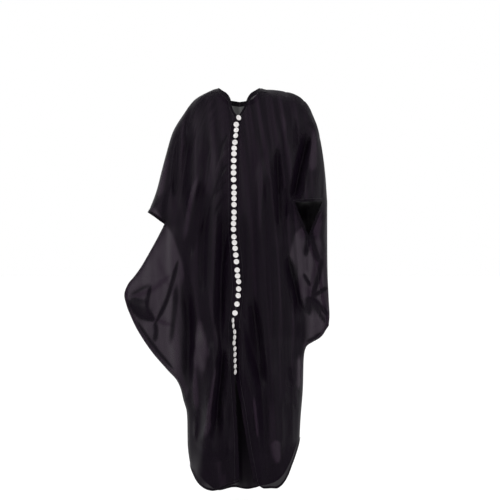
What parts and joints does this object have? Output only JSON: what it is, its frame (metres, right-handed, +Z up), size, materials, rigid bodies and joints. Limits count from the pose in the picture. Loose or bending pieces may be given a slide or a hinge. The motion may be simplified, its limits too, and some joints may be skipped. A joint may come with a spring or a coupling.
{
  "type": "grand boubou robe",
  "caption": "Long sheer batwing robe, open at the neck, sleeves and hem, with a slit neckline and a buttoned front that parts below the knee.",
  "frame": {"origin": "midway between the two neck points of the shoulder line, where a wearer's shoulders carry the robe", "axes": "+Z up, the front of the robe faces -Y, +X towards the wearer's left sleeve"},
  "size_m": [0.7144, 0.2934, 1.424],
  "materials": {
    "black_chiffon": "sheer, soft sheen",
    "black_binding": "matt, doubled cloth",
    "white_button": "gloss"
  },
  "bodies": {
    "root": {"front_left": "black_chiffon", "front_right": "black_chiffon", "back": "black_chiffon", "neck_binding": "black_binding", "button_band_left": "black_binding", "button_band_right": "black_binding", "hem_left": "black_binding", "hem_right": "black_binding", "hem_back": "black_binding", "sleeve_hem_left": "black_binding", "sleeve_hem_right": "black_binding", "seam_allowance_left": "black_binding", "seam_allowance_right": "black_binding", "button_01": "white_button", "button_02": "white_button", "button_03": "white_button", "button_04": "white_button", "button_05": "white_button", "button_06": "white_button", "button_07": "white_button", "button_08": "white_button", "button_09": "white_button", "button_10": "white_button", "button_11": "white_button", "button_12": "white_button", "button_13": "white_button", "button_14": "white_button", "button_15": "white_button", "button_16": "white_button", "button_17": "white_button", "button_18": "white_button", "button_19": "white_button", "button_20": "white_button", "button_21": "white_button", "button_22": "white_button", "button_23": "white_button", "button_24": "white_button", "button_25": "white_button", "button_26": "white_button", "button_27": "white_button", "button_28": "white_button", "button_29": "white_button", "button_30": "white_button", "button_31": "white_button", "button_32": "white_button", "button_33": "white_button", "button_34": "white_button", "button_35": "white_button", "button_36": "white_button", "button_37": "white_button", "button_38": "white_button", "button_39": "white_button", "button_40": "white_button", "button_41": "white_button"}
  },
  "joints": []
}
